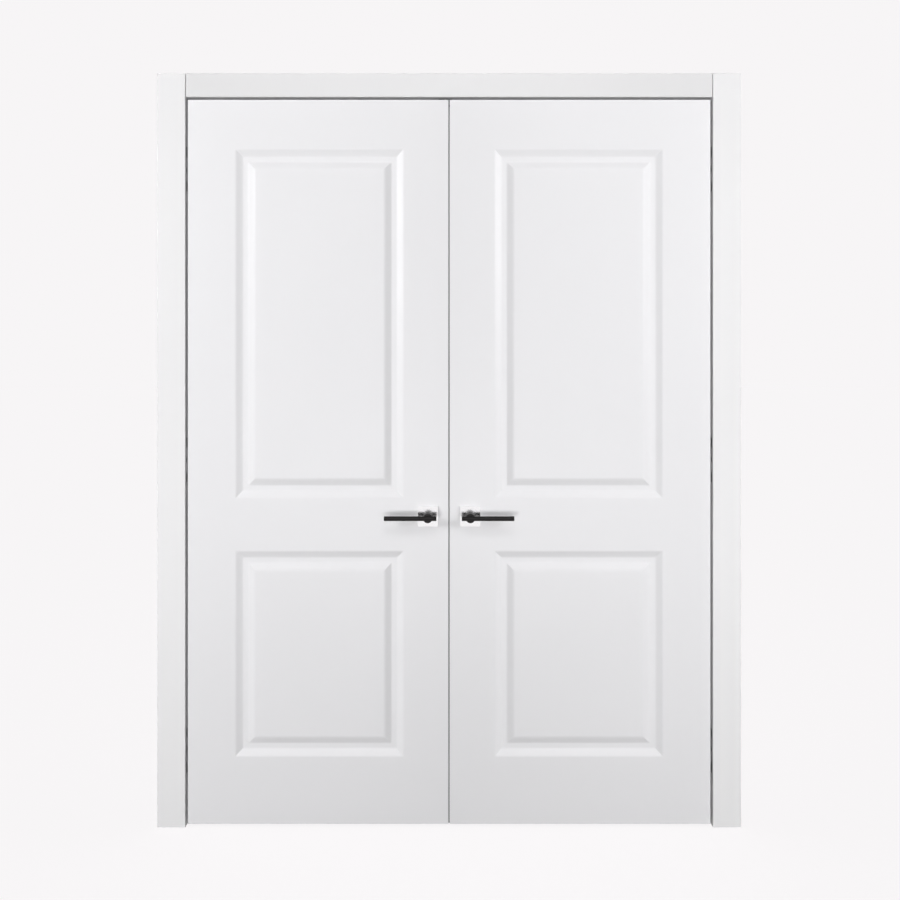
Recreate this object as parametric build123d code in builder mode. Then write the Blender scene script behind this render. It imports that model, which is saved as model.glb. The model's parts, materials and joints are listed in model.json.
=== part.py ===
from build123d import *
import math
import os

os.makedirs("parts", exist_ok=True)

# Prehung double door: two panelled leaves in a rebated frame with casings on both sides.
# Millimetres. X runs across the doorway, Y from the pull side to the push side, Z up.
# The origin is on the floor line, midway across the doorway and midway through the wall.

# ---------------------------------------------------------------- driving dimensions
wall_depth = 116.0  # jamb depth, which is the thickness of the wall
yf_wall = -wall_depth / 2  # front faces of the jambs
yb_wall = wall_depth / 2  # back faces of the jambs

leaf_x0 = 1.5  # meeting edge of a leaf, from the centre line
leaf_x1 = 763.5  # hinge edge of a leaf
leaf_z0 = 6.0  # underside of a leaf
leaf_z1 = 2121.0  # top of a leaf
leaf_t = 40.0  # leaf thickness
leaf_yf = yf_wall - 4.0  # front face of the leaves, 8 mm behind the casing's face
leaf_yb = leaf_yf + leaf_t
leaf_ym = leaf_yf + leaf_t / 2
leaf_bevel = 1.05  # the meeting edge leans back by this much over the thickness
leaf_ease = 1.0  # radius along the leaf's arrises

reb_x = 768.5  # side of the rebate, from the centre line
reb_z = 2127.0  # underside of the head rebate
stop_w = 18.0  # how far the stop stands inside the rebate's side
jamb_w = 36.5  # jamb thickness beside the rebate
stop_y = leaf_yb + 3.0  # face of the stop, 3 mm behind the closed leaf

casing_t = 12.0
casing_w = 81.5  # side casings
head_casing_w = 69.0
casing_reveal_back = 13.0  # the rear casing stands this far inside the rebate's side
tongue_in = 24.7  # tongue, from the casing's inner edge
tongue_t = 4.6
tongue_len = 11.0
groove_in, groove_t, groove_len = 24.5, 5.0, 12.5
seam = 1.5  # open joint between head and side casings

# panel moulding: outside edges of the two panels, and the routed section
panel_x = (130.3, 626.8)
panels_z = ((200.6, 805.3), (954.8, 1978.8))
mould_w = 62.5
mould_d = 8.5

# hinges
hinge_x = (leaf_x1 + reb_x) / 2  # the swing axis stands in the middle of the side gap
hinge_y = leaf_yf
hinge_z = (216.0, 1068.0, 1921.0)
arm_r0, arm_r1 = 19.0, 24.0
arm_half = 67.0  # half the angle that an arm spans
arm_h = 30.0
arm_z = 21.0  # centre of each arm above and below the hinge's middle
arm_gap = 0.4
plate_h, plate_v0, plate_v1, plate_t = 130.0, 4.5, 32.5, 2.5
box_h, box_v1, box_u1 = 92.0, 29.0, 24.5

# handles
axis_x = 61.5  # spindle axis from the centre line
axis_z = 905.0
rose = 59.0
rose_t = 7.0
neck_r = 13.5
neck_len = 44.0  # the neck ends level with the bar's axis
bar_r = 6.8
bar_out = 45.0  # bar's axis from the leaf's face
bar_tip = 125.5  # long end of the bar from the spindle axis
bar_stub = 25.0
spindle = 8.0

# latch in the right leaf, strike in the left leaf
edge_x = 2.4  # outer face of the plates let into the meeting edges
plate_w = 20.0
bolt_z = 941.0
bolt_w, bolt_h = 12.0, 22.0
bolt_throw = 10.0

# flush bolts in the left leaf
rod_x = 10.5
rod_r = 4.5
rod_throw = 16.0

# screws
scr_r, scr_head_r, scr_head_h = 1.75, 3.4, 1.9
scr_len = 22.0
fit = 0.05

fix_z = ((120.0, 2020.0), (640.0, 1500.0))
fix_y = -40.0

C, LO = Align.CENTER, Align.MIN


# ---------------------------------------------------------------- small helpers
def slab(x0, x1, y0, y1, z0, z1, mode=Mode.ADD):
    """A block between two corners, in the open part."""
    with Locations(((x0 + x1) / 2, (y0 + y1) / 2, (z0 + z1) / 2)):
        Box(abs(x1 - x0), abs(y1 - y0), abs(z1 - z0), mode=mode)


def round_bar(start, direction, radius, length, mode=Mode.ADD):
    """A cylinder from a point along a direction, in the open part."""
    with Locations(Plane(origin=start, z_dir=direction)):
        Cylinder(radius, length, align=(C, C, LO), mode=mode)


def screw_hole(start, direction, length, r=scr_r, head_r=scr_head_r, head_h=scr_head_h):
    """A countersunk hole that clears its screw by a hair."""
    with Locations(Plane(origin=start, z_dir=direction)):
        Cone(head_r + 2 * fit, r + 2 * fit, head_h, align=(C, C, LO), mode=Mode.SUBTRACT)
        Cylinder(r + fit, length + 0.3, align=(C, C, LO), mode=Mode.SUBTRACT)


def screws(places, length, r=scr_r, head_r=scr_head_r, head_h=scr_head_h):
    """Countersunk screws with a cross recess, one for each place and direction."""
    with BuildPart() as group:
        for start, direction in places:
            with Locations(Plane(origin=start, z_dir=direction)):
                Cylinder(r, length - r, align=(C, C, LO))
                Cone(head_r, r, head_h, align=(C, C, LO))
            tip = Vector(*start) + Vector(*direction) * (length - r)
            with Locations(Plane(origin=tip, z_dir=direction)):
                Cone(r, 0.3, r, align=(C, C, LO))
            with Locations(Plane(origin=start, z_dir=direction)):
                Box(head_r * 1.1, 0.9, 1.4, align=(C, C, LO), mode=Mode.SUBTRACT)
                Box(0.9, head_r * 1.1, 1.4, align=(C, C, LO), mode=Mode.SUBTRACT)
    return group


def save(piece, label):
    piece.part.label = label
    export_step(piece.part, f"parts/{label}.step")


# ---------------------------------------------------------------- frame
def side_jamb(s):
    """Rebated side jamb, mitred at its head. s is -1 for the left and +1 for the right."""
    out = reb_x + jamb_w
    stop = reb_x - stop_w
    with BuildPart() as jamb:
        with BuildSketch(Plane.XY):
            with BuildLine():
                Polyline(
                    (s * reb_x, yf_wall),
                    (s * out, yf_wall),
                    (s * out, yb_wall),
                    (s * stop, yb_wall),
                    (s * stop, stop_y),
                    (s * reb_x, stop_y),
                    close=True,
                )
            make_face()
        extrude(amount=reb_z + jamb_w)
        # grooves for the casings' tongues and for the seal
        g0 = reb_x + groove_in
        slab(s * g0, s * (g0 + groove_t), yf_wall - 1, yf_wall + groove_len, -1, 2400, Mode.SUBTRACT)
        g0 = reb_x - casing_reveal_back + groove_in
        slab(s * g0, s * (g0 + groove_t), yb_wall - groove_len, yb_wall + 1, -1, 2400, Mode.SUBTRACT)
        slab(s * (reb_x - 13), s * (reb_x - 10), stop_y - 1, stop_y + 8, -1, 2400, Mode.SUBTRACT)
        split(
            bisect_by=Plane(origin=(s * reb_x, 0, reb_z), z_dir=(-s, 0, 1)),
            keep=Keep.BOTTOM,
        )
        # hinge seats
        for z in hinge_z:
            hinge_seat(s, 1, z)
        # holes for the screws that hold the frame in the wall
        for pair in fix_z:
            for z in pair:
                with Locations(Plane(origin=(s * reb_x, fix_y, z), z_dir=(s, 0, 0))):
                    Cylinder(3.0, jamb_w + 1, align=(C, C, LO), mode=Mode.SUBTRACT)
                    Cone(6.0, 3.0, 3.0, align=(C, C, LO), mode=Mode.SUBTRACT)
        for start, direction in corner_places(s):
            screw_hole(start, direction, 70, 2.25, 4.6, 2.6)
    return jamb


def corner_places(s):
    out = reb_x + jamb_w
    z = reb_z + 19.0
    return [((s * out, -38.0, z), (-s, 0, 0)), ((s * out, 28.0, z), (-s, 0, 0))]


def head_jamb_piece():
    stop = reb_z - stop_w
    top = reb_z + jamb_w
    half = reb_x + jamb_w + 5
    with BuildPart() as head:
        with BuildSketch(Plane.YZ.offset(-half)):
            with BuildLine():
                Polyline(
                    (yf_wall, reb_z),
                    (yf_wall, top),
                    (yb_wall, top),
                    (yb_wall, stop),
                    (stop_y, stop),
                    (stop_y, reb_z),
                    close=True,
                )
            make_face()
        extrude(amount=2 * half)
        g0 = reb_z + groove_in
        slab(-half, half, yf_wall - 1, yf_wall + groove_len, g0, g0 + groove_t, Mode.SUBTRACT)
        g0 = reb_z - casing_reveal_back + groove_in
        slab(-half, half, yb_wall - groove_len, yb_wall + 1, g0, g0 + groove_t, Mode.SUBTRACT)
        slab(-half, half, stop_y - 1, stop_y + 8, reb_z - 13, reb_z - 10, Mode.SUBTRACT)
        for s in (-1, 1):
            split(
                bisect_by=Plane(origin=(s * reb_x, 0, reb_z), z_dir=(-s, 0, 1)),
                keep=Keep.TOP,
            )
            for start, direction in corner_places(s):
                screw_hole(start, direction, 70, 2.25, 4.6, 2.6)
        # seat of the head strike, and the bore behind it
        slab(-rod_x - 20.1, -rod_x + 20.1, leaf_ym - 10.1, leaf_ym + 10.1, reb_z - 1, reb_z + 2.0, Mode.SUBTRACT)
        round_bar((-rod_x, leaf_ym, reb_z), (0, 0, 1), 6.0, 16, Mode.SUBTRACT)
        for dx in (-14, 14):
            screw_hole((-rod_x + dx, leaf_ym, reb_z), (0, 0, 1), scr_len)
    return head


def side_casing(s, face):
    """Flat side casing with a tongue on its back. face is -1 at the front and +1 at the rear."""
    y0 = yf_wall if face < 0 else yb_wall
    inner = reb_x if face < 0 else reb_x - casing_reveal_back
    top = reb_z + head_casing_w - (0 if face < 0 else casing_reveal_back)
    t0 = inner + tongue_in
    with BuildPart() as casing:
        slab(s * inner, s * (inner + casing_w), y0, y0 + face * casing_t, 0, top)
        outer_face = casing.faces().sort_by(Axis.Y)[0 if face < 0 else -1]
        inner_edge = (
            outer_face.edges().filter_by(Axis.Z).sort_by(lambda e: abs(e.center().X))[0]
        )
        fillet(inner_edge, 1.6)
        outer_face = casing.faces().sort_by(Axis.Y)[0 if face < 0 else -1]
        others = outer_face.edges().filter_by(
            lambda e: e.center().Z > top - 1 or abs(e.center().X) > inner + casing_w - 1
        )
        fillet(others, 0.8)
        slab(s * t0, s * (t0 + tongue_t), y0 - face * tongue_len, y0 + face * 1, 0, reb_z + 10)
    return casing


def head_casing(face):
    y0 = yf_wall if face < 0 else yb_wall
    off = 0 if face < 0 else casing_reveal_back
    half = reb_x - off - seam
    z0 = reb_z - off
    z1 = z0 + head_casing_w
    t0 = z0 + tongue_in
    with BuildPart() as casing:
        slab(-half, half, y0, y0 + face * casing_t, z0, z1)
        outer_face = casing.faces().sort_by(Axis.Y)[0 if face < 0 else -1]
        fillet(outer_face.edges().filter_by(Axis.Z), 2.2)
        outer_face = casing.faces().sort_by(Axis.Y)[0 if face < 0 else -1]
        fillet(outer_face.edges().filter_by(Axis.X), 0.8)
        slab(-half, half, y0 - face * tongue_len, y0 + face * 1, t0, t0 + tongue_t)
    return casing


def side_seal(s):
    """Bulb seal along the stop, with its stem in the stop's groove."""
    a, b = reb_x - 13, reb_x - 10
    with BuildPart() as seal:
        with BuildSketch(Plane.XY):
            with BuildLine():
                ThreePointArc((s * (a - 2.5), stop_y), (s * (a + 1.5), stop_y - 2.6), (s * (b + 2.5), stop_y))
                Polyline(
                    (s * (b + 2.5), stop_y),
                    (s * (b - 0.1), stop_y),
                    (s * (b - 0.1), stop_y + 7),
                    (s * (a + 0.1), stop_y + 7),
                    (s * (a + 0.1), stop_y),
                    (s * (a - 2.5), stop_y),
                )
            make_face()
        extrude(amount=reb_z + 20)
        split(
            bisect_by=Plane(origin=(s * reb_x, 0, reb_z - 0.1), z_dir=(-s, 0, 1)),
            keep=Keep.BOTTOM,
        )
    return seal


def head_seal_piece():
    a, b = reb_z - 13, reb_z - 10
    with BuildPart() as seal:
        with BuildSketch(Plane.YZ.offset(-reb_x)):
            with BuildLine():
                ThreePointArc((stop_y, a - 2.5), (stop_y - 2.6, a + 1.5), (stop_y, b + 2.5))
                Polyline(
                    (stop_y, b + 2.5),
                    (stop_y, b - 0.1),
                    (stop_y + 7, b - 0.1),
                    (stop_y + 7, a + 0.1),
                    (stop_y, a + 0.1),
                    (stop_y, a - 2.5),
                )
            make_face()
        extrude(amount=2 * reb_x)
        for s in (-1, 1):
            split(
                bisect_by=Plane(origin=(s * reb_x, 0, reb_z + 0.1), z_dir=(-s, 0, 1)),
                keep=Keep.TOP,
            )
    return seal


# ---------------------------------------------------------------- hinges
# Each hinge is a box let into the jamb, a box let into the leaf's edge, and two curved
# arms that run in arc-shaped slots of both boxes. The slots are round the swing axis.
# k is +1 for the jamb's side and -1 for the leaf's side.
def hinge_seat(s, k, z):
    u0 = reb_x - hinge_x
    a = s * (hinge_x + k * u0)
    slab(
        a, s * (hinge_x + k * (u0 + plate_t + 0.05)),
        hinge_y + plate_v0 - 0.1, hinge_y + plate_v1 + 0.1,
        z - plate_h / 2 - 0.1, z + plate_h / 2 + 0.1,
        Mode.SUBTRACT,
    )
    slab(
        a, s * (hinge_x + k * (box_u1 + 0.2)),
        hinge_y + plate_v0 - 0.1, hinge_y + box_v1 + 0.1,
        z - box_h / 2 - 0.1, z + box_h / 2 + 0.1,
        Mode.SUBTRACT,
    )
    for start, direction in hinge_screw_places(s, k, z):
        screw_hole(start, direction, scr_len)


def hinge_screw_places(s, k, z):
    u0 = reb_x - hinge_x
    x = s * (hinge_x + k * u0)
    places = []
    for dz in (-55.0, 55.0):
        for v in (11.5, 25.5):
            places.append(((x, hinge_y + v, z + dz), (s * k, 0, 0)))
    return places


def hinge_box(s, k, z):
    u0 = reb_x - hinge_x
    # the slot's arc as seen from above, from just before the box's face to its blind end
    mid = 90 - s * k * (arm_half + 2 - 8) / 2
    span = arm_half + 2 + 8
    start = mid - span / 2
    with BuildPart() as box:
        xa, xb = s * (hinge_x + k * u0), s * (hinge_x + k * (u0 + plate_t))
        slab(xa, xb, hinge_y + plate_v0, hinge_y + plate_v1, z - plate_h / 2, z + plate_h / 2)
        corners = box.edges().filter_by(Axis.X).filter_by(
            lambda e: e.center().Y > hinge_y + plate_v1 - 1 or e.center().Y < hinge_y + plate_v0 + 1
        )
        fillet(corners, 5.0)
        slab(xb, s * (hinge_x + k * box_u1), hinge_y + plate_v0, hinge_y + box_v1, z - box_h / 2, z + box_h / 2)
        for dz in (-arm_z, arm_z):
            with BuildSketch(Plane.XY.offset(z + dz - arm_h / 2 - arm_gap)):
                with BuildLine():
                    c = (s * hinge_x, hinge_y)
                    ro, ri = arm_r1 + arm_gap, arm_r0 - arm_gap
                    outer = CenterArc(c, ro, start, span)
                    inner = CenterArc(c, ri, start, span)
                    Line(outer @ 0, inner @ 0)
                    Line(outer @ 1, inner @ 1)
                make_face()
            extrude(amount=arm_h + 2 * arm_gap, mode=Mode.SUBTRACT)
        for begin, direction in hinge_screw_places(s, k, z):
            screw_hole(begin, direction, scr_len)
    return box


def hinge_arms(s):
    with BuildPart() as arms:
        for z in hinge_z:
            for dz in (-arm_z, arm_z):
                with BuildSketch(Plane.XY.offset(z + dz - arm_h / 2)):
                    with BuildLine():
                        c = (s * hinge_x, hinge_y)
                        outer = CenterArc(c, arm_r1, 90 - arm_half, 2 * arm_half)
                        inner = CenterArc(c, arm_r0, 90 - arm_half, 2 * arm_half)
                        Line(outer @ 0, inner @ 0)
                        Line(outer @ 1, inner @ 1)
                    make_face()
                extrude(amount=arm_h)
    return arms


# ---------------------------------------------------------------- leaves
def panel_groove(x0, x1, z0, z1, face):
    """The routed ring of one panel as a solid to be taken away, with square mitred corners."""
    y0 = leaf_yf if face < 0 else leaf_yb
    d = -face  # depth runs into the leaf
    xm = (x0 + x1) / 2

    def p(s_, dep):
        return (z0 + s_, y0 + d * dep)

    with BuildPart() as ring:
        # section at the middle of the lower rail, on a plane whose x is Z and y is Y
        with BuildSketch(Plane(origin=(xm, 0, 0), x_dir=(0, 0, 1), z_dir=(-1, 0, 0))) as section:
            with BuildLine():
                Polyline(p(0, 0), p(0, -2), p(mould_w, -2), p(mould_w, 0))
                # outer bevel, eased into the face and into the valley
                ThreePointArc(p(0, 0), p(3.0, 0.34), p(6.0, 1.35))
                Line(p(6.0, 1.35), p(19.0, 7.15))
                ThreePointArc(p(19.0, 7.15), p(22.0, 8.16), p(25.0, mould_d))
                Line(p(25.0, mould_d), p(36.0, mould_d))
                # inner slope up to the raised field
                ThreePointArc(p(36.0, mould_d), p(38.5, 8.22), p(41.0, 7.38))
                Line(p(41.0, 7.38), p(52.5, 2.24))
                ThreePointArc(p(52.5, 2.24), p(57.5, 0.56), p(mould_w, 0))
            make_face()
        with BuildLine(Plane.XZ.offset(-y0)) as path:
            Polyline((xm, z0), (x1, z0), (x1, z1), (x0, z1), (x0, z0), (xm, z0))
        sweep(path=path.wire(), transition=Transition.RIGHT)
    return ring


def leaf(s):
    """Panelled slab. Both faces are routed alike."""
    a, b = leaf_x0, leaf_x1
    grooves = []
    for z0, z1 in panels_z:
        for face in (-1, 1):
            x0, x1 = sorted((s * panel_x[0], s * panel_x[1]))
            grooves.append(panel_groove(x0, x1, z0, z1, face).part)
    with BuildPart() as door:
        with BuildSketch(Plane.XY.offset(leaf_z0)):
            with BuildLine():
                Polyline(
                    (s * a, leaf_yf),
                    (s * b, leaf_yf),
                    (s * b, leaf_yb),
                    (s * (a + leaf_bevel), leaf_yb),
                    close=True,
                )
            make_face()
        extrude(amount=leaf_z1 - leaf_z0)
        fillet(door.edges(), leaf_ease)
        for groove in grooves:
            add(groove, mode=Mode.SUBTRACT)
        for z in hinge_z:
            hinge_seat(s, -1, z)
        # handle bores
        round_bar((s * axis_x, leaf_yf - 1, axis_z), (0, 1, 0), 11.0, leaf_t + 2, Mode.SUBTRACT)
        for dx in (-19, 19):
            round_bar((s * axis_x + dx, leaf_yf - 1, axis_z), (0, 1, 0), 3.5, leaf_t + 2, Mode.SUBTRACT)
        m = plate_w / 2
        if s > 0:
            # mortise and plate seat of the latch
            slab(0, 92.3, leaf_ym - 8.3, leaf_ym + 8.3, 859.7, 965.3, Mode.SUBTRACT)
            slab(0, edge_x + 2.6, leaf_ym - m - 0.1, leaf_ym + m + 0.1, 832.4, 992.6, Mode.SUBTRACT)
            for start, direction in latch_screw_places():
                screw_hole(start, direction, scr_len)
        else:
            # seat of the strike, of the two flush bolts and of the meeting seal
            slab(0, -15.6, leaf_ym - 9.1, leaf_ym + 9.1, 925.4, 956.6, Mode.SUBTRACT)
            slab(0, -edge_x - 2.6, leaf_ym - m - 0.1, leaf_ym + m + 0.1, 870.9, 1011.1, Mode.SUBTRACT)
            for start, direction in strike_screw_places():
                screw_hole(start, direction, scr_len)
            for e in (1, -1):
                end = leaf_z1 if e > 0 else leaf_z0
                slab(0, -18.2, leaf_ym - 9.1, leaf_ym + 9.1, end + e, end - e * 195.1, Mode.SUBTRACT)
                slab(0, -40.1, leaf_ym - 9.1, leaf_ym + 9.1, end + e, end - e * 2.6, Mode.SUBTRACT)
                for start, direction in flush_screw_places(e):
                    screw_hole(start, direction, scr_len)
            slab(0, -8.5, leaf_yf + 4.5, leaf_yf + 7.5, 0, 2200, Mode.SUBTRACT)
    return door


def meeting_seal_piece():
    """Fin seal in the left leaf's meeting edge. Its lip nearly closes the gap."""
    y0, y1 = leaf_yf + 4.5, leaf_yf + 7.5
    ym = (y0 + y1) / 2
    with BuildPart() as seal:
        with BuildSketch(Plane.XY.offset(leaf_z0 + 1)):
            with BuildLine():
                Polyline(
                    (-8.0, y0 + 0.1),
                    (-1.7, y0 + 0.1),
                    (-0.9, ym - 1.0),
                    (1.1, ym - 0.5),
                    (1.1, ym + 0.5),
                    (-0.9, ym + 1.0),
                    (-1.7, y1 - 0.1),
                    (-8.0, y1 - 0.1),
                    close=True,
                )
            make_face()
        extrude(amount=leaf_z1 - leaf_z0 - 2)
    return seal


# ---------------------------------------------------------------- latch and strike
def latch_screw_places():
    return [((edge_x, leaf_ym, z), (1, 0, 0)) for z in (842.5, 982.5)]


def strike_screw_places():
    return [((-edge_x, leaf_ym, z), (-1, 0, 0)) for z in (881.0, 1001.0)]


def latch_case_piece():
    """Mortise case of folded sheet with its face plate."""
    f = edge_x + 2.5
    z0, z1, x1 = 860.0, 965.0, 92.0
    with BuildPart() as case:
        slab(edge_x, f, leaf_ym - plate_w / 2, leaf_ym + plate_w / 2, 832.5, 992.5)
        slab(f, x1, leaf_ym - 8, leaf_ym + 8, z0, z1)
        slab(f + 1.5, x1 - 1.5, leaf_ym - 6.5, leaf_ym + 6.5, z0 + 1.5, z1 - 1.5, Mode.SUBTRACT)
        for dx in (-19, 19):
            round_bar((axis_x + dx, leaf_ym - 7, axis_z), (0, 1, 0), 4.5, 14)
        # bolt guides, window, follower bearings and bolt holes
        slab(f + 1, 30.0, leaf_ym - 7, leaf_ym + 7, bolt_z - 13.5, bolt_z + 13.5)
        slab(
            0, 31.0, leaf_ym - bolt_w / 2 - 0.15, leaf_ym + bolt_w / 2 + 0.15,
            bolt_z - bolt_h / 2 - 0.15, bolt_z + bolt_h / 2 + 0.15, Mode.SUBTRACT,
        )
        round_bar((axis_x, leaf_ym - 9, axis_z), (0, 1, 0), 9.0 + fit, 18, Mode.SUBTRACT)
        for dx in (-19, 19):
            round_bar((axis_x + dx, leaf_ym - 9, axis_z), (0, 1, 0), 3.5, 18, Mode.SUBTRACT)
        for start, direction in latch_screw_places():
            screw_hole(start, direction, scr_len)
    return case


def follower_piece():
    """Hub that the spindle turns, with the arm that draws the bolt in."""
    with BuildPart() as hub:
        round_bar((axis_x, leaf_ym - 8, axis_z), (0, 1, 0), 9.0, 16)
        slab(axis_x - 4, axis_x + 4, leaf_ym - 3.5, leaf_ym + 3.5, axis_z, axis_z + 27)
        round_bar((axis_x, leaf_ym - 3.5, axis_z + 27), (0, 1, 0), 4.0, 7)
        q = spindle / 2 + fit
        slab(axis_x - q, axis_x + q, leaf_ym - 10, leaf_ym + 10, axis_z - q, axis_z + q, Mode.SUBTRACT)
    return hub


def bolt_piece():
    """Magnetic latch bolt, drawn in, with its tail beside the follower's arm."""
    with BuildPart() as bolt:
        slab(edge_x + 0.2, 34.0, leaf_ym - bolt_w / 2, leaf_ym + bolt_w / 2, bolt_z - bolt_h / 2, bolt_z + bolt_h / 2)
        nose = bolt.faces().sort_by(Axis.X)[0]
        fillet(nose.edges(), 1.5)
        slab(33.0, 70.0, leaf_ym - 6.0, leaf_ym - 4.0, bolt_z - 5, bolt_z + 5)
    return bolt


def strike_piece():
    """Strike plate with its box, for the left leaf's meeting edge."""
    f = edge_x + 2.5
    with BuildPart() as strike:
        slab(-edge_x, -f, leaf_ym - plate_w / 2, leaf_ym + plate_w / 2, 871.0, 1011.0)
        slab(-f, -15.5, leaf_ym - 9, leaf_ym + 9, 925.5, 956.5)
        slab(0, -14.0, leaf_ym - 7.5, leaf_ym + 7.5, 928.5, 953.5, Mode.SUBTRACT)
        for start, direction in strike_screw_places():
            screw_hole(start, direction, scr_len)
    return strike


def magnet_piece():
    with BuildPart() as magnet:
        slab(-9.3, -13.9, leaf_ym - 5, leaf_ym + 5, bolt_z - 10, bolt_z + 10)
        chamfer(magnet.faces().sort_by(Axis.X)[-1].edges(), 0.5)
    return magnet


# ---------------------------------------------------------------- flush bolts
# e is +1 for the bolt at the leaf's head and -1 for the one at its foot.
def flush_screw_places(e):
    end = leaf_z1 if e > 0 else leaf_z0
    return [
        ((-edge_x, leaf_ym, end - e * 187.0), (-1, 0, 0)),
        ((-edge_x, leaf_ym, end - e * 168.0), (-1, 0, 0)),
        ((-31.0, leaf_ym, end), (0, 0, -e)),
    ]


def flush_case(e):
    end = leaf_z1 if e > 0 else leaf_z0

    def zz(t):
        return end - e * t

    with BuildPart() as case:
        slab(-edge_x, -edge_x - 2.5, leaf_ym - 9, leaf_ym + 9, zz(0), zz(195))
        slab(-edge_x, -40.0, leaf_ym - 9, leaf_ym + 9, zz(0), zz(2.5))
        slab(-edge_x, -18.0, leaf_ym - 9, leaf_ym + 9, zz(0), zz(160))
        # rod's bore and the thumb slot
        round_bar((-rod_x, leaf_ym, zz(-1)), (0, 0, -e), rod_r + fit, 156, Mode.SUBTRACT)
        slab(0, -rod_x, leaf_ym - 3.75, leaf_ym + 3.75, zz(102), zz(155), Mode.SUBTRACT)
        for start, direction in flush_screw_places(e):
            screw_hole(start, direction, scr_len)
    return case


def flush_rod(e):
    end = leaf_z1 if e > 0 else leaf_z0

    def zz(t):
        return end - e * t

    with BuildPart() as rod:
        round_bar((-rod_x, leaf_ym, zz(148)), (0, 0, e), rod_r, 146.5)
        tip = rod.faces().filter_by(Axis.Z).sort_by(Axis.Z)[-1 if e > 0 else 0]
        chamfer(tip.edges(), 1.0)
        slab(-edge_x - 0.4, -rod_x, leaf_ym - 3.5, leaf_ym + 3.5, zz(125), zz(147))
        # finger grooves across the thumb piece
        for t in (129.0, 132.5, 136.0, 139.5, 143.0):
            slab(0, -edge_x - 1.2, leaf_ym - 4, leaf_ym + 4, zz(t - 0.7), zz(t + 0.7), Mode.SUBTRACT)
    return rod


def head_strike_piece():
    with BuildPart() as strike:
        slab(-rod_x - 20, -rod_x + 20, leaf_ym - 10, leaf_ym + 10, reb_z, reb_z + 2)
        round_bar((-rod_x, leaf_ym, reb_z - 1), (0, 0, 1), 5.3, 4, Mode.SUBTRACT)
        for dx in (-14, 14):
            screw_hole((-rod_x + dx, leaf_ym, reb_z), (0, 0, 1), scr_len)
    return strike


# ---------------------------------------------------------------- handles
# f is -1 on the pull side and +1 on the push side; y_at gives the depth of a point that
# stands d outside the leaf's face.
def y_at(f, d):
    return leaf_ym + f * (leaf_t / 2 + d)


def rosette(s, f):
    """Square cover with a turned hole for the lever's neck."""
    h = rose / 2
    x = s * axis_x
    with BuildPart() as cover:
        slab(x - h, x + h, y_at(f, 0), y_at(f, rose_t), axis_z - h, axis_z + h)
        fillet(cover.edges().filter_by(Axis.Y), 1.0)
        outer = cover.faces().sort_by(Axis.Y)[0 if f < 0 else -1]
        fillet(outer.edges(), 0.8)
        k = h - 1.5
        slab(x - k, x + k, y_at(f, -1), y_at(f, rose_t - 1.5), axis_z - k, axis_z + k, Mode.SUBTRACT)
        round_bar((x, y_at(f, 0), axis_z), (0, f, 0), neck_r + fit, rose_t + 1, Mode.SUBTRACT)
    return cover


def rosette_bases(s):
    """The two plates under the covers."""
    k = rose / 2 - 1.7
    x = s * axis_x
    with BuildPart() as bases:
        for f in (-1, 1):
            slab(x - k, x + k, y_at(f, 0), y_at(f, 3.0), axis_z - k, axis_z + k)
            round_bar((x, y_at(f, -1), axis_z), (0, f, 0), 10.0, 5, Mode.SUBTRACT)
        for start, direction in bolt_places(s):
            screw_hole(start, direction, 45, 2.0, 4.0, 2.2)
    return bases


def bolt_places(s):
    return [((s * axis_x + dx, y_at(-1, 3.0), axis_z), (0, 1, 0)) for dx in (-19, 19)]


def lever(s, f):
    """Round neck with a straight round bar let into its front end, in one piece."""
    x = s * axis_x
    with BuildPart() as handle:
        round_bar((x, y_at(f, 3.3), axis_z), (0, f, 0), 15.5, 1.9)
        round_bar((x, y_at(f, 3.3), axis_z), (0, f, 0), neck_r, neck_len - 3.3)
        end = handle.faces().filter_by(Axis.Y).sort_by(Axis.Y)[0 if f < 0 else -1]
        fillet(end.edges(), 1.2)
        with Locations(Plane(origin=(x - s * bar_stub, y_at(f, bar_out), axis_z), z_dir=(s, 0, 0))):
            Cylinder(bar_r, bar_stub + bar_tip, align=(C, C, LO))
        tips = handle.faces().filter_by(Axis.X).sort_by(Axis.X)
        fillet(tips[0].edges() + tips[-1].edges(), 0.8)
        q = spindle / 2 + fit
        slab(x - q, x + q, y_at(f, 0), y_at(f, 38), axis_z - q, axis_z + q, Mode.SUBTRACT)
        round_bar((x, y_at(f, 14), axis_z - neck_r - 1), (0, 0, 1), 2.5 + fit, neck_r, Mode.SUBTRACT)
    return handle


def spindle_piece(s):
    x = s * axis_x
    h = spindle / 2
    with BuildPart() as shaft:
        slab(x - h, x + h, y_at(-1, 36), y_at(1, 36), axis_z - h, axis_z + h)
        chamfer(shaft.faces().filter_by(Axis.Y).edges(), 0.6)
    return shaft


def grub_screws(s):
    with BuildPart() as grubs:
        for f in (-1, 1):
            start = (s * axis_x, y_at(f, 14), axis_z - 11.5)
            round_bar(start, (0, 0, 1), 2.5, 7.3)
            round_bar(start, (0, 0, 1), 1.2, 2.5, Mode.SUBTRACT)
    return grubs


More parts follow.
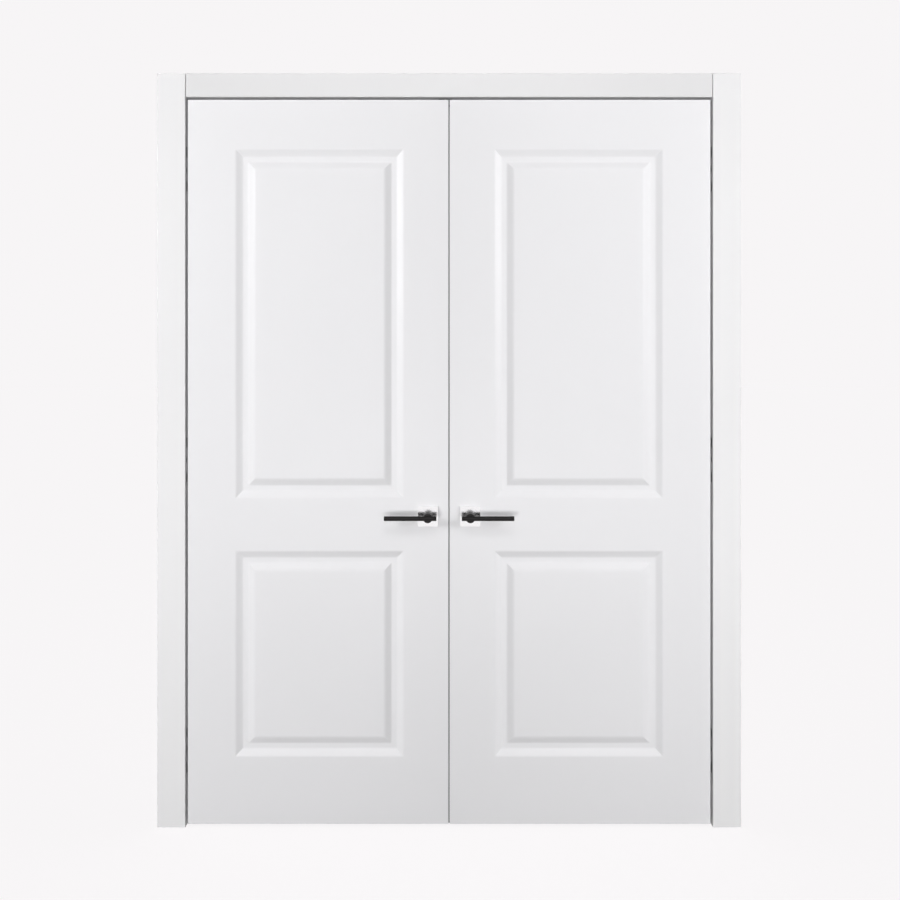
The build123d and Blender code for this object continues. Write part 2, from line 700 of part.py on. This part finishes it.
# ---------------------------------------------------------------- build and write
for s, side in ((-1, "left"), (1, "right")):
    save(side_jamb(s), f"jamb_{side}")
    save(side_casing(s, -1), f"front_casing_{side}")
    save(side_casing(s, 1), f"back_casing_{side}")
    save(side_seal(s), f"jamb_seal_{side}")
    save(hinge_arms(s), f"hinge_arms_{side}")
    for z, level in zip(hinge_z, ("bottom", "middle", "top")):
        save(hinge_box(s, 1, z), f"hinge_box_jamb_{side}_{level}")
        save(hinge_box(s, -1, z), f"hinge_box_leaf_{side}_{level}")
    save(leaf(s), f"leaf_{side}")
    save(rosette(s, -1), f"rosette_front_{side}")
    save(rosette(s, 1), f"rosette_back_{side}")
    save(rosette_bases(s), f"rosette_bases_{side}")
    save(screws(bolt_places(s), 45, 2.0, 4.0, 2.2), f"rosette_bolts_{side}")
    save(lever(s, -1), f"lever_front_{side}")
    save(lever(s, 1), f"lever_back_{side}")
    save(spindle_piece(s), f"spindle_{side}")
    save(grub_screws(s), f"grub_screws_{side}")
    edge = [p for z in hinge_z for p in hinge_screw_places(s, -1, z)]
    if s > 0:
        edge += latch_screw_places()
    else:
        edge += strike_screw_places() + flush_screw_places(1) + flush_screw_places(-1)
    save(screws(edge, scr_len), f"leaf_screws_{side}")

save(head_jamb_piece(), "head_jamb")
save(head_casing(-1), "front_casing_head")
save(head_casing(1), "back_casing_head")
save(head_seal_piece(), "head_seal")
save(head_strike_piece(), "head_strike")
save(meeting_seal_piece(), "meeting_seal")
save(screws(corner_places(-1) + corner_places(1), 70, 2.25, 4.6, 2.6), "corner_screws")
frame_places = [p for s in (-1, 1) for z in hinge_z for p in hinge_screw_places(s, 1, z)]
frame_places += [((-rod_x + dx, leaf_ym, reb_z), (0, 0, 1)) for dx in (-14, 14)]
save(screws(frame_places, scr_len), "frame_screws")
save(latch_case_piece(), "latch_case")
save(follower_piece(), "latch_follower")
save(bolt_piece(), "latch_bolt")
save(strike_piece(), "latch_strike")
save(magnet_piece(), "strike_magnet")
save(flush_case(1), "flush_bolt_case_top")
save(flush_case(-1), "flush_bolt_case_bottom")
save(flush_rod(1), "flush_bolt_top")
save(flush_rod(-1), "flush_bolt_bottom")
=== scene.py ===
import json
import math

import bpy
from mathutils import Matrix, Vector


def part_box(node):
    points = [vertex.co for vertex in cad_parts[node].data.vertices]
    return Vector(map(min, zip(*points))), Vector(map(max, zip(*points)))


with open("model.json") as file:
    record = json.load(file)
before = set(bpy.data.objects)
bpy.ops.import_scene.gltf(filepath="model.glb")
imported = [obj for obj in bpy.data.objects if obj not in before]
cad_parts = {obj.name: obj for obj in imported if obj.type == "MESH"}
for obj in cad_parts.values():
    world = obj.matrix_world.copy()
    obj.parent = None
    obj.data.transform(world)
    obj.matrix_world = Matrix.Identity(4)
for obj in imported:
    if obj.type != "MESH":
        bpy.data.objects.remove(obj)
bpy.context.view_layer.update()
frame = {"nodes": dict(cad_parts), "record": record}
nodes = frame["nodes"]
scene = bpy.context.scene


# ---------------------------------------------------------------- materials
def new_material(name):
    m = bpy.data.materials.new(name)
    m.use_nodes = True
    nt = m.node_tree
    nt.nodes.clear()
    out = nt.nodes.new("ShaderNodeOutputMaterial")
    out.location = (700, 0)
    bsdf = nt.nodes.new("ShaderNodeBsdfPrincipled")
    bsdf.location = (400, 0)
    nt.links.new(bsdf.outputs["BSDF"], out.inputs["Surface"])
    return m, nt, bsdf


def coords(nt):
    n = nt.nodes.new("ShaderNodeTexCoord")
    n.location = (-1100, 0)
    return n.outputs["Object"]


def stretched(nt, vec, scale):
    n = nt.nodes.new("ShaderNodeMapping")
    n.location = (-900, 0)
    n.inputs["Scale"].default_value = scale
    nt.links.new(vec, n.inputs["Vector"])
    return n.outputs["Vector"]


def noise(nt, vec, scale, detail=3.0, rough=0.5, distortion=0.0):
    n = nt.nodes.new("ShaderNodeTexNoise")
    n.inputs["Scale"].default_value = scale
    n.inputs["Detail"].default_value = detail
    n.inputs["Roughness"].default_value = rough
    n.inputs["Distortion"].default_value = distortion
    nt.links.new(vec, n.inputs["Vector"])
    return n.outputs["Fac"]


def ranged(nt, value, lo, hi, a=0.3, b=0.7):
    n = nt.nodes.new("ShaderNodeMapRange")
    n.inputs["From Min"].default_value = a
    n.inputs["From Max"].default_value = b
    n.inputs["To Min"].default_value = lo
    n.inputs["To Max"].default_value = hi
    nt.links.new(value, n.inputs["Value"])
    return n.outputs["Result"]


def blended(nt, fac, c0, c1):
    n = nt.nodes.new("ShaderNodeMix")
    n.data_type = "RGBA"
    n.inputs[6].default_value = (*c0, 1)
    n.inputs[7].default_value = (*c1, 1)
    nt.links.new(fac, n.inputs[0])
    return n.outputs[2]


def bumped(nt, height, strength, distance, onto=None):
    n = nt.nodes.new("ShaderNodeBump")
    n.inputs["Strength"].default_value = strength
    n.inputs["Distance"].default_value = distance
    nt.links.new(height, n.inputs["Height"])
    if onto is not None:
        nt.links.new(onto, n.inputs["Normal"])
    return n.outputs["Normal"]


def paint(name, base, shade, rough=(0.34, 0.42), grain=0.05):
    """Sprayed satin paint: a fine orange peel, and very slight changes of tone and gloss."""
    m, nt, b = new_material(name)
    v = coords(nt)
    tone = ranged(nt, noise(nt, v, 2.2, 4, 0.55), 0.0, 1.0)
    nt.links.new(blended(nt, tone, base, shade), b.inputs["Base Color"])
    nt.links.new(ranged(nt, noise(nt, v, 9.0, 3, 0.5), *rough), b.inputs["Roughness"])
    peel = bumped(nt, noise(nt, v, 620.0, 2, 0.5), grain, 0.0004)
    nt.links.new(bumped(nt, noise(nt, v, 46.0, 2, 0.5), grain, 0.0007, peel), b.inputs["Normal"])
    b.inputs["IOR"].default_value = 1.47
    return m


def metal(name, base, shade, rough, axis=None, metallic=1.0, grain=0.06, scale=900.0, level=0.5):
    """Metal with a brushed grain along one axis, or an even fine grain."""
    m, nt, b = new_material(name)
    v = coords(nt)
    if axis is not None:
        s = [1.0, 1.0, 1.0]
        s[axis] = 0.03
        v = stretched(nt, v, s)
    g = noise(nt, v, scale, 4, 0.6)
    nt.links.new(blended(nt, g, base, shade), b.inputs["Base Color"])
    nt.links.new(ranged(nt, g, *rough), b.inputs["Roughness"])
    nt.links.new(bumped(nt, g, grain, 0.0002), b.inputs["Normal"])
    b.inputs["Metallic"].default_value = metallic
    b.inputs["Specular IOR Level"].default_value = level
    return m


def rubber(name, base, shade):
    m, nt, b = new_material(name)
    v = coords(nt)
    g = noise(nt, v, 800.0, 3, 0.6)
    nt.links.new(blended(nt, g, base, shade), b.inputs["Base Color"])
    nt.links.new(ranged(nt, g, 0.62, 0.78), b.inputs["Roughness"])
    nt.links.new(bumped(nt, g, 0.15, 0.0002), b.inputs["Normal"])
    return m


LEAF = paint("leaf_paint", (0.803, 0.801, 0.809), (0.793, 0.791, 0.799))
JAMB = paint("jamb_paint", (0.800, 0.798, 0.806), (0.788, 0.786, 0.794))
# painted shade: the casings carry the same white paint as the leaves, set a little darker to stand in for less
# light falling on them
SHADED_CASING_PAINT = paint("casing_paint", (0.764, 0.762, 0.762), (0.754, 0.752, 0.752))
SEAL = rubber("seal_rubber", (0.035, 0.035, 0.037), (0.055, 0.055, 0.058))
ZINC = metal("satin_zinc", (0.60, 0.60, 0.61), (0.50, 0.50, 0.51), (0.26, 0.38), axis=2)
CHROME = metal("polished_chrome", (0.98, 0.98, 0.985), (0.965, 0.965, 0.97), (0.15, 0.19), grain=0.015, scale=300.0)
BASE = metal("base_zinc", (0.52, 0.52, 0.53), (0.42, 0.42, 0.43), (0.45, 0.6), scale=500.0, grain=0.2)
BLACK = metal("black_lever", (0.0075, 0.0068, 0.0066), (0.012, 0.0108, 0.0104), (0.40, 0.50), metallic=0.0, scale=700.0, level=0.14)
STEEL = metal("satin_steel", (0.62, 0.62, 0.62), (0.52, 0.52, 0.52), (0.24, 0.36), axis=2)
PLAIN = metal("plain_steel", (0.50, 0.50, 0.51), (0.40, 0.40, 0.41), (0.32, 0.44), axis=1)
SCREW = metal("screw_steel", (0.60, 0.60, 0.60), (0.50, 0.50, 0.49), (0.28, 0.4), scale=1400.0)
MAGNET = metal("magnet_nickel", (0.66, 0.65, 0.61), (0.58, 0.57, 0.53), (0.2, 0.3), scale=600.0)
BOLT = metal("bolt_black", (0.045, 0.045, 0.046), (0.065, 0.065, 0.066), (0.38, 0.5), metallic=0.0, scale=600.0)
LOOK = {
    "leaf_paint": LEAF, "jamb_paint": JAMB, "casing_paint": SHADED_CASING_PAINT, "seal_rubber": SEAL, "fin_rubber": SEAL,
    "satin_zinc": ZINC, "polished_chrome": CHROME, "base_zinc": BASE, "black_lever": BLACK, "satin_steel": STEEL,
    "case_steel": STEEL, "plain_steel": PLAIN, "screw_steel": SCREW, "magnet_nickel": MAGNET, "bolt_black": BOLT,
}
slots = {p["node"]: p["material_slot"] for p in frame["record"]["subparts"]}
for name, o in nodes.items():
    o.data.materials.clear()
    o.data.materials.append(LOOK[slots[name]])


# ---------------------------------------------------------------- floor and backdrop
def plane(name, size, z):
    me = bpy.data.meshes.new(name)
    s = size / 2
    me.from_pydata([(-s, -s, z), (s, -s, z), (s, s, z), (-s, s, z)], [], [(0, 1, 2, 3)])
    o = bpy.data.objects.new(name, me)
    scene.collection.objects.link(o)
    return o


floor = plane("floor", 120.0, -0.0005)
fm, fnt, fb = new_material("pale_floor")
fv = coords(fnt)
fnt.links.new(blended(fnt, noise(fnt, fv, 1.5, 2, 0.5), (0.119, 0.117, 0.118), (0.122, 0.120, 0.121)), fb.inputs["Base Color"])
fb.inputs["Roughness"].default_value = 0.9
fb.inputs["Specular IOR Level"].default_value = 0.0
fb.inputs["Emission Color"].default_value = (0.922, 0.906, 0.914, 1)
fb.inputs["Emission Strength"].default_value = 0.97
floor.data.materials.append(fm)
floor.visible_diffuse = False
floor.visible_glossy = False

world = bpy.data.worlds.new("studio")
scene.world = world
world.use_nodes = True
wnt = world.node_tree
wnt.nodes["Background"].inputs["Color"].default_value = (0.922, 0.906, 0.914, 1)
wnt.nodes["Background"].inputs["Strength"].default_value = 1.008
world.cycles_visibility.diffuse = False


# ---------------------------------------------------------------- lights
# Each leaf has its own key light from its outer upper side, so the two sides mirror each other.
# Pieces across the middle take half of each.
def group(name, members):
    c = bpy.data.collections.new(name)
    for o in members:
        c.objects.link(o)
    return c


def side_of(name):
    lo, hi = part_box(name)
    if lo.x < -0.05 and hi.x > 0.05:
        return 0
    return -1 if lo.x + hi.x < 0 else 1


CHROMED = {n for n in nodes if slots[n] == "polished_chrome"}    # these only mirror their surroundings
lit = {k: group(n, [o for m, o in nodes.items() if side_of(m) == k and m not in CHROMED])
       for k, n in ((-1, "left_side"), (0, "across"), (1, "right_side"))}
lit_all = group("all_but_chrome", [o for m, o in nodes.items() if m not in CHROMED])
lit_casing = group("side_casings", [o for m, o in nodes.items() if slots[m] == "casing_paint" and side_of(m) != 0])
lit_floor = group("floor_only", [floor])


def area(name, at, to, size, power, tint=(1, 1, 1), size_y=None, onto=None):
    d = bpy.data.lights.new(name, "AREA")
    d.shape = "RECTANGLE"
    d.size = size
    d.size_y = size_y if size_y is not None else size
    d.energy = power
    d.color = tint
    o = bpy.data.objects.new(name, d)
    o.location = at
    o.rotation_mode = "QUATERNION"
    o.rotation_quaternion = (Vector(to) - Vector(at)).to_track_quat("-Z", "Y")
    scene.collection.objects.link(o)
    o.visible_camera = False
    o.light_linking.receiver_collection = onto or lit_all
    return o


COOL = (0.992, 0.988, 1.0)
KEY, KEY_LOW, FRONT, HIGH, LOW, FOOT = 93, 5.7, 30, 37, 21.5, 4.6
for s, side in ((-1, "left"), (1, "right")):
    for onto, share, tag in ((lit[s], 1.0, ""), (lit[0], 0.57, "_across")):
        area(f"key_{side}{tag}", (s * 3.4, -3.4, 2.6), (s * 0.4, 0, 1.1), 1.4, KEY * share, COOL, 1.4, onto)
        area(f"key_low_{side}{tag}", (s * 2.1, -1.9, 0.6), (s * 0.4, 0, 0.9), 0.8, KEY_LOW * share, COOL, 0.8, onto)
    area(f"foot_{side}", (s * 2.2, -1.8, 0.25), (s * 0.8, 0, 0.2), 0.6, FOOT, COOL, 0.6, lit_casing)
    area(f"rear_key_{side}", (s * 3.2, 3.6, 2.7), (0, 0, 1.1), 1.6, 62, COOL, 1.6)
area("front", (0, -5.0, 2.0), (0, 0, 1.2), 3.0, FRONT, COOL, 2.5)
area("front_high", (0, -3.0, 3.8), (0, 0, 1.2), 2.5, HIGH, COOL, 1.2)
area("front_low", (0, -3.0, 0.5), (0, 0, 0.8), 2.0, LOW, COOL, 0.8)
area("rear_high", (0, 3.2, 3.8), (0, 0, 1.2), 2.5, 46, COOL, 1.2)
area("rear_low", (0, 3.4, 0.7), (0, 0, 0.8), 2.0, 30, COOL, 0.8)



def sun(name, direction, power, degrees, onto, blockers=None):
    d = bpy.data.lights.new(name, "SUN")
    d.energy = power
    d.angle = math.radians(degrees)
    o = bpy.data.objects.new(name, d)
    o.rotation_mode = "QUATERNION"
    o.rotation_quaternion = Vector(direction).to_track_quat("-Z", "Y")
    scene.collection.objects.link(o)
    o.light_linking.receiver_collection = onto
    if blockers:
        o.light_linking.blocker_collection = blockers
    return o


sun("floor_light", (0, 0, -1), 0.93, 100, lit_floor)
# a narrow light from the lower left draws the levers' shadows to their upper right
sun("shadow_light", (13, 38, 6), 0.54, 6, lit_all, group("whole_object", nodes.values())).visible_glossy = False

# ---------------------------------------------------------------- camera
# The levers are seen from 9.4 degrees above, and upright lines stay upright, so the frame is shifted down a little.
DISTANCE = 2.6       # from the leaves' face
SPAN = 2.6285        # width seen at the leaves' face, in metres
CENTRE_Z = 1.098     # height in the middle of the picture at the leaves' face
CAM_Z = 0.905 + math.tan(math.radians(9.4)) * DISTANCE
cam = bpy.data.cameras.new("camera")
camera = bpy.data.objects.new("camera", cam)
scene.collection.objects.link(camera)
camera.location = (0.0026, -0.062 - DISTANCE, CAM_Z)
camera.rotation_euler = (math.radians(90), 0, 0)
cam.sensor_fit = "HORIZONTAL"
cam.sensor_width = 36.0
cam.lens = 36.0 * DISTANCE / SPAN
cam.shift_y = (CENTRE_Z - CAM_Z) / SPAN
cam.dof.use_dof = False
cam.clip_start, cam.clip_end = 0.05, 100
scene.camera = camera

scene.view_settings.view_transform = "Standard"
scene.view_settings.look = "None"
scene.view_settings.exposure = 0.0
scene.view_settings.gamma = 1.0
